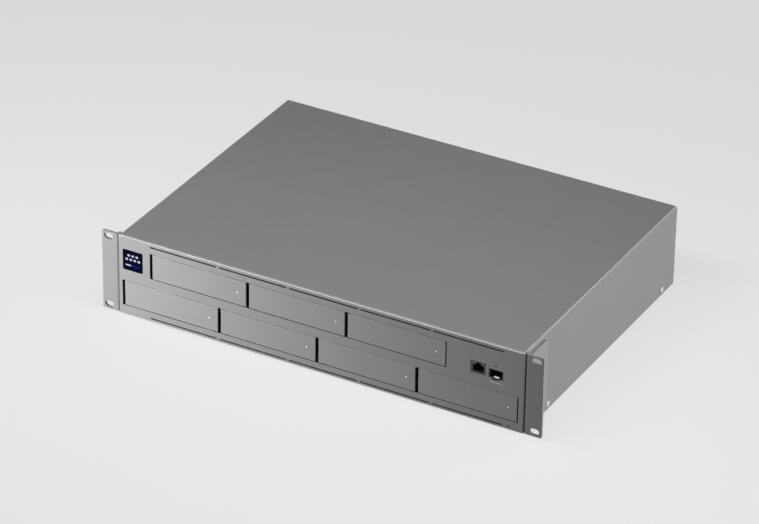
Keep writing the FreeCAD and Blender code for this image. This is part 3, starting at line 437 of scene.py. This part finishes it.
glass_mesh = upright_plate(rounded_rectangle(GLASS_SIDE, GLASS_SIDE, GLASS_CORNER),
                           SCREEN_MIDDLE.x, SCREEN_MIDDLE.z, GLASS_FRONT, glass_high.y, GLASS_BEVEL)
glass = piece("screen_cover", glass_mesh, glass_black, "chassis")
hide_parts("display_glass")


def screen_mark(name, size, across, up, finish, lift):
    """One shape of the picture, which stands off the glass by its lift."""
    mesh = upright_plate(rounded_rectangle(*(value * MM for value in size)), SCREEN_MIDDLE.x + across * MM,
                         SCREEN_MIDDLE.z + up * MM, GLASS_FRONT - lift, GLASS_FRONT + MARK_SUNK)
    piece(name, mesh, finish, "chassis")


screen_mark("screen_field", FIELD, 0, 0, screen_dim, FIELD_LIFT)
for row, count in enumerate(BLOCK_ROWS):
    for k in range(count):
        screen_mark(f"screen_bay_{row}_{k}", BLOCK, (k - (count - 1) / 2) * BLOCK_PITCH,
                    FIRST_ROW - row * ROW_PITCH, screen_white, BLOCK_LIFT)
screen_mark("screen_gauge", GAUGE, 0, GAUGE_ROW, screen_blue, GAUGE_LIFT)
screen_mark("screen_level", LEVEL, (LEVEL[0] - GAUGE[0]) / 2, GAUGE_ROW, screen_white, BLOCK_LIFT)


# ---- network port: a stepped mouth, latch on top, with eight sprung contacts ----

jack_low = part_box("network_jack")[0]
JACK_MIDDLE = middle("network_jack").x
JACK_FOOT = jack_low.z + 1.6 * MM
JACK_MOUTH, JACK_DEPTH = 0.35 * MM, 11.9 * MM
# half widths and heights above the foot, in mm, from the plug's floor up to the latch
JACK_STEPS = ((5.90, 0.0), (5.90, 7.55), (3.05, 7.55), (3.05, 9.15), (1.65, 9.15), (1.65, 10.2))
CONTACTS = 8
CONTACT_PITCH = 1.02 * MM
CONTACT_WIDTH, CONTACT_THICK = 0.42 * MM, 0.3 * MM
CONTACT_PATH = ((2.2, 0.35), (3.2, 0.5), (6.5, 1.5), (9.4, 2.6), (10.6, 3.3), (11.2, 3.9))

right_half = [(JACK_MIDDLE + half * MM, JACK_FOOT + up * MM) for half, up in JACK_STEPS]
left_half = [(JACK_MIDDLE - half * MM, JACK_FOOT + up * MM) for half, up in JACK_STEPS[::-1]]
jack_inside = tube_liner(right_half + left_half, jack_low.y + JACK_MOUTH, jack_low.y + JACK_DEPTH)
piece("network_jack_inside", jack_inside, port_black, "chassis")
for k in range(CONTACTS):
    contact_x = JACK_MIDDLE + (k - (CONTACTS - 1) / 2) * CONTACT_PITCH
    path = path_back(contact_x, jack_low.y, JACK_FOOT, CONTACT_PATH)
    piece(f"network_contact_{k + 1}", swept_bar(path, CONTACT_WIDTH, CONTACT_THICK), gold, "chassis")


# ---- fibre port: a dark box with a bright tab at its mouth and springs along its sides ----

cage_low, cage_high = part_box("fibre_cage")
CAGE_MIDDLE = middle("fibre_cage").x
CAGE_HALF = 6.62 * MM
CAGE_FLOOR, CAGE_ROOF = cage_low.z + 1.68 * MM, cage_high.z - 0.58 * MM
CAGE_MOUTH, CAGE_DEPTH = 2.2 * MM, 44 * MM
TAB_WIDTH, TAB_THICK = 5.2 * MM, 0.3 * MM
TAB_PATH = ((0.9, 1.6), (1.1, 2.1), (1.5, 2.5), (2.1, 2.7), (2.8, 2.5), (3.4, 1.9))
SPRINGS = 4
SPRING_WALL = 6.5 * MM
FIRST_SPRING, SPRING_PITCH = 3.2 * MM, 1.9 * MM
SPRING_WIDTH, SPRING_THICK = 1.2 * MM, 0.16 * MM
# (depth behind the mouth, lean in from the wall), in mm
SPRING_PATH = ((0.1, 0.0), (1.2, 0.28), (2.6, 0.34), (4.2, 0.05))

cage_box = [(CAGE_MIDDLE - CAGE_HALF, CAGE_FLOOR), (CAGE_MIDDLE + CAGE_HALF, CAGE_FLOOR),
            (CAGE_MIDDLE + CAGE_HALF, CAGE_ROOF), (CAGE_MIDDLE - CAGE_HALF, CAGE_ROOF)]
cage_inside = tube_liner(cage_box, cage_low.y + CAGE_MOUTH, cage_low.y + CAGE_DEPTH)
piece("fibre_cage_inside", cage_inside, port_black, "chassis")
tab_path = path_back(CAGE_MIDDLE, cage_low.y, cage_low.z, TAB_PATH)
piece("fibre_cage_tab", swept_bar(tab_path, TAB_WIDTH, TAB_THICK), tinned, "chassis")
for label, side in (("left", -1), ("right", 1)):
    for k in range(SPRINGS):
        height = cage_low.z + FIRST_SPRING + k * SPRING_PITCH
        wall = CAGE_MIDDLE + side * SPRING_WALL
        path = [Vector((wall - side * lean * MM, cage_low.y + depth * MM, height))
                for depth, lean in SPRING_PATH]
        piece(f"fibre_spring_{label}_{k + 1}", swept_bar(path, SPRING_WIDTH, SPRING_THICK, UP), port_steel,
              "chassis")


# ---- inside each tray: pegs for the disk's side holes, soft pads, and a light pipe to the door's lamp ----

WALL = 2.0 * MM
FLOOR = 1.0 * MM
# distances back from the tray's front, in mm
PEG_ROWS = (46.0, 76.0, 106.0)
PAD_ROWS = (30.0, 128.0)
PEG_HEIGHT = 9.5 * MM
PAD_INSET = 24.0 * MM
PEG = ((0.0, 2.6), (0.35, 2.6), (0.5, 2.4), (0.55, 1.55), (1.6, 1.5), (1.95, 1.15))
PAD = ((0.0, 5.0), (0.5, 5.0), (0.75, 4.7), (0.8, 4.2))
PEG_STEPS, PAD_STEPS = 20, 28
PIPE_INSET = 3.2 * MM
PIPE_WIDTH, PIPE_THICK = 1.8 * MM, 1.4 * MM
PIPE_PATH = ((2.3, 20.4), (6.0, 21.2), (12.0, 21.6), (60.0, 21.6), (118.0, 21.6), (124.0, 21.2))


def tray_pegs(low, high):
    working = bmesh.new()
    for inwards, wall in ((ACROSS, low.x + WALL), (-ACROSS, high.x - WALL)):
        for along in PEG_ROWS:
            turned(working, PEG, Vector((wall, low.y + along * MM, low.z + PEG_HEIGHT)), inwards, PEG_STEPS)
    return working


def tray_pads(low, high):
    working = bmesh.new()
    for along in PAD_ROWS:
        for x in (low.x + PAD_INSET, high.x - PAD_INSET):
            turned(working, PAD, Vector((x, low.y + along * MM, low.z + FLOOR)), UP, PAD_STEPS)
    return working


for number in BAYS:
    tray = f"tray_{number}"
    low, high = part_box(tray)
    piece(f"{tray}_pegs", tray_pegs(low, high), black_plastic, tray)
    piece(f"{tray}_pads", tray_pads(low, high), soft_pad, tray)
    pipe_path = path_back(high.x - PIPE_INSET, low.y, low.z, PIPE_PATH)
    piece(f"{tray}_light_pipe", swept_bar(pipe_path, PIPE_WIDTH, PIPE_THICK), clear_plastic, tray)


# ---- mains inlet: bright pins over the moulded ones ----

INLET = middle("ac_inlet")
INLET_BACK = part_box("ac_inlet")[1].y
PIN_ROOT, PIN_TIP = 16.4 * MM, 7.3 * MM
PIN_WIDTH, PIN_HEIGHT, PIN_CORNER = 2.16 * MM, 4.16 * MM, 0.5 * MM
PIN_SPOTS = ((-7, -2), (0, 2), (7, -2))

for k, (across, up) in enumerate(PIN_SPOTS, 1):
    pin_mesh = upright_plate(rounded_rectangle(PIN_WIDTH, PIN_HEIGHT, PIN_CORNER, 4), INLET.x + across * MM,
                             INLET.z + up * MM, INLET_BACK - PIN_ROOT, INLET_BACK - PIN_TIP)
    piece(f"mains_pin_{k}", pin_mesh, bright_steel, "chassis")


# ---- screws: domed heads with a cross recess ----

SCREW_STEPS = 48
HEAD_RADIUS, HEAD_HEIGHT = 3.1 * MM, 1.4 * MM
SHANK_RADIUS, SHANK_LENGTH = 1.35 * MM, 2.3 * MM
SHANK_TAPER = 0.9
# shares of the head's radius and height, from its seat up to the recess
HEAD_PROFILE = ((1.0, 0.0), (1.0, 0.35), (0.95, 0.68), (0.80, 0.90), (0.60, 0.99))
# the cross: how far its arms reach and half their width, as shares of the head's radius
ARM_REACH, ARM_HALF = 0.52, 0.15
# shares of the cross's size and of the head's height, at the recess's mouth and floor
RECESS_PROFILE = ((1.0, 1.0), (0.86, 0.45))
FIRST_TURN, NEXT_TURN = 0.4, 1.1
TO_RIGHT, TO_LEFT = Matrix.Rotation(math.radians(90), 4, "Y"), Matrix.Rotation(math.radians(-90), 4, "Y")
TO_BACK = Matrix.Rotation(math.radians(-90), 4, "X")


def cross_outline():
    """A cross with four arms about its own middle, in the same steps round as the head."""
    points = []
    for u, v in circle(1.0, SCREW_STEPS):
        off_arm = min(abs(u), abs(v))
        reach = ARM_HALF / max(off_arm, ARM_HALF / ARM_REACH)
        points.append((u * reach * HEAD_RADIUS, v * reach * HEAD_RADIUS))
    return points


def screw_mesh():
    """A pan head about its seat: a domed rim, a cross-shaped pocket and a plain shank; head towards +Z."""
    rings = [[(u, v, -SHANK_LENGTH) for u, v in circle(SHANK_RADIUS * SHANK_TAPER, SCREW_STEPS)],
             [(u, v, 0) for u, v in circle(SHANK_RADIUS, SCREW_STEPS)]]
    for width, height in HEAD_PROFILE:
        rings.append([(u, v, height * HEAD_HEIGHT) for u, v in circle(width * HEAD_RADIUS, SCREW_STEPS)])
    for width, height in RECESS_PROFILE:
        rings.append([(u * width, v * width, height * HEAD_HEIGHT) for u, v in cross_outline()])
    working = bmesh.new()
    walls(working, rings)
    return working


def screws(node, spots):
    """Dressed screws in place of a node's; each spot is a seat and the turn that faces it outwards."""
    for k, (seat, outwards) in enumerate(spots, 1):
        working = screw_mesh()
        place = Matrix.Translation(seat) @ outwards @ Matrix.Rotation(FIRST_TURN + NEXT_TURN * k, 4, "Z")
        bmesh.ops.transform(working, matrix=place, verts=working.verts)
        screw = piece(f"{node[:-1]}_{k}", working, screw_zinc, "chassis")
        if k == 1:
            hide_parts(node)


case_low, case_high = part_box("top_cover")
low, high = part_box("cover_screws")
side_rows = (low.y + HEAD_RADIUS, high.y - HEAD_RADIUS)
side_height = middle("cover_screws").z
screws("cover_screws", [(Vector((x, y, side_height)), outwards)
                        for x, outwards in ((case_low.x, TO_LEFT), (case_high.x, TO_RIGHT))
                        for y in side_rows])
low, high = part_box("rear_screws")
rear_height = middle("rear_screws").z
screws("rear_screws", [(Vector((x, BACK, rear_height)), TO_BACK)
                       for x in (low.x + HEAD_RADIUS, high.x - HEAD_RADIUS)])


# ---- room: pale floor and backdrop ----

PALE = (0.86, 0.86, 0.87)
DULL = (0.16, 0.16, 0.165)
BACKDROP = (0.70, 0.70, 0.71)
SKY = (0.90, 0.91, 0.93)
SKY_STRENGTH = 0.09
FLOOR_GLOW = 0.72
FLOOR_HALF = 14
FLOOR_GAP = 0.2 * MM


def shown_share(tree):
    """1 for a ray that shows the background itself: straight to the camera, mirrored, or through glass."""
    rays = tree.nodes.new("ShaderNodeLightPath").outputs
    mirrored = maths(tree, "MAXIMUM", rays["Is Camera Ray"], rays["Is Glossy Ray"])
    return maths(tree, "MAXIMUM", mirrored, rays["Is Transmission Ray"])


def either_shader(tree, share, first, second):
    made = tree.nodes.new("ShaderNodeMixShader")
    for socket, value in zip(made.inputs, (share, first, second)):
        feed(tree, socket, value)
    return made.outputs[0]


def pale_floor():
    """Matt and pale to look at; it throws less light back up than it shows, as a far larger floor would."""
    made = surface("pale_floor", PALE, vary=0.01, roughness=0.7, grain=300, mottle=3, bump=0.02, edge=0)
    tree = made.node_tree
    dull = tree.nodes.new("ShaderNodeBsdfDiffuse")
    dull.inputs["Color"].default_value = (*DULL, 1)
    lifted = tree.nodes.new("ShaderNodeEmission")
    lifted.inputs["Color"].default_value = (*PALE, 1)
    shown = either_shader(tree, FLOOR_GLOW, tree.nodes["Principled BSDF"].outputs[0], lifted.outputs[0])
    either = either_shader(tree, shown_share(tree), dull.outputs[0], shown)
    feed(tree, tree.nodes["Material Output"].inputs["Surface"], either)
    return made


floor_mesh = bmesh.new()
floor_corners = [(u * FLOOR_HALF, v * FLOOR_HALF, cad_low.z - FLOOR_GAP)
                 for u, v in ((-1, -1), (1, -1), (1, 1), (-1, 1))]
floor_mesh.faces.new([floor_mesh.verts.new(corner) for corner in floor_corners])
floor = placed("floor", floor_mesh, pale_floor())

world = bpy.data.worlds.new("studio")
bpy.context.scene.world = world
world.use_nodes = True
sky = world.node_tree
sky_light = sky.nodes["Background"]
sky_light.inputs["Color"].default_value = (*SKY, 1)
sky_light.inputs["Strength"].default_value = SKY_STRENGTH
backdrop = sky.nodes.new("ShaderNodeBackground")
backdrop.inputs["Color"].default_value = (*BACKDROP, 1)
feed(sky, sky.nodes["World Output"].inputs["Surface"],
     either_shader(sky, shown_share(sky), sky_light.outputs[0], backdrop.outputs[0]))


# ---- lamps ----

def facing(direction):
    """The turn that points a lamp or a camera, which look down their own -Z, along a direction."""
    return direction.to_track_quat("-Z", "Y")


def soft_light(name, spot, aim, size, watts, cone=180):
    """A rectangular lamp at spot, in metres, turned to aim; cone is how wide it throws, in degrees."""
    data = bpy.data.lights.new(name, "AREA")
    data.shape = "RECTANGLE"
    data.size, data.size_y = size
    data.energy = watts
    data.spread = math.radians(cone)
    made = bpy.data.objects.new(name, data)
    made.location = spot
    made.visible_camera = False
    made.rotation_mode = "QUATERNION"
    made.rotation_quaternion = facing(Vector(aim) - Vector(spot))
    bpy.context.scene.collection.objects.link(made)
    return made


soft_light("overhead", (0.05, -0.20, 0.61), (0.05, -0.19, 0), (1.3, 0.16), 3.8)
# two small lamps stand where the folds above the front and above the right side mirror them
soft_light("front_fold", (-0.83, -1.16, 1.61), (0, -0.16, 0.09), (0.5, 0.5), 5)
soft_light("side_fold", (1.25, 1.52, 0.92), (0.22, 0, 0.09), (0.5, 0.5), 5)
low_lights = [
    soft_light("right_side", (2.0, 0.3, 0.10), (0.2, 0, 0.12), (1.2, 0.2), 14, 110),
    soft_light("left_front", (-0.75, -0.90, 0.10), (-0.29, -0.16, 0.05), (0.30, 0.10), 1.75, 56),
    soft_light("rear", (-0.4, 2.0, 0.10), (0, 0.16, 0.12), (1.4, 0.2), 11, 110),
    soft_light("left_side", (-2.0, 0.5, 0.10), (-0.2, 0, 0.12), (1.2, 0.2), 8, 110),
]
# the low lamps would burn spots on the floor, so they leave it out
left_out = bpy.data.collections.new("left_out_by_low_lights")
left_out.objects.link(floor)
left_out.collection_objects[0].light_linking.link_state = "EXCLUDE"
for light in low_lights:
    light.light_linking.receiver_collection = left_out


# ---- camera: to the right front and above, far off, a long lens ----

AZIMUTH, ELEVATION, ROLL = math.radians(28.58), math.radians(29.93), math.radians(0.91)
DISTANCE = 4.2057
AIM = Vector((-0.01629, -0.01088, 0.04044))
LENS, SENSOR = 204.3, 36  # in mm
NEAREST, FARTHEST = 0.1, 60

towards = Vector((math.sin(AZIMUTH) * math.cos(ELEVATION), -math.cos(AZIMUTH) * math.cos(ELEVATION),
                  math.sin(ELEVATION)))
view = bpy.data.cameras.new("camera")
view.lens = LENS
view.sensor_width = SENSOR
view.clip_start = NEAREST
view.clip_end = FARTHEST
camera = bpy.data.objects.new("camera", view)
camera.location = AIM + towards * DISTANCE
camera.rotation_mode = "QUATERNION"
camera.rotation_quaternion = facing(-towards) @ Matrix.Rotation(ROLL, 4, "Z").to_quaternion()
bpy.context.scene.collection.objects.link(camera)
bpy.context.scene.camera = camera
bpy.context.scene.view_settings.view_transform = "Standard"
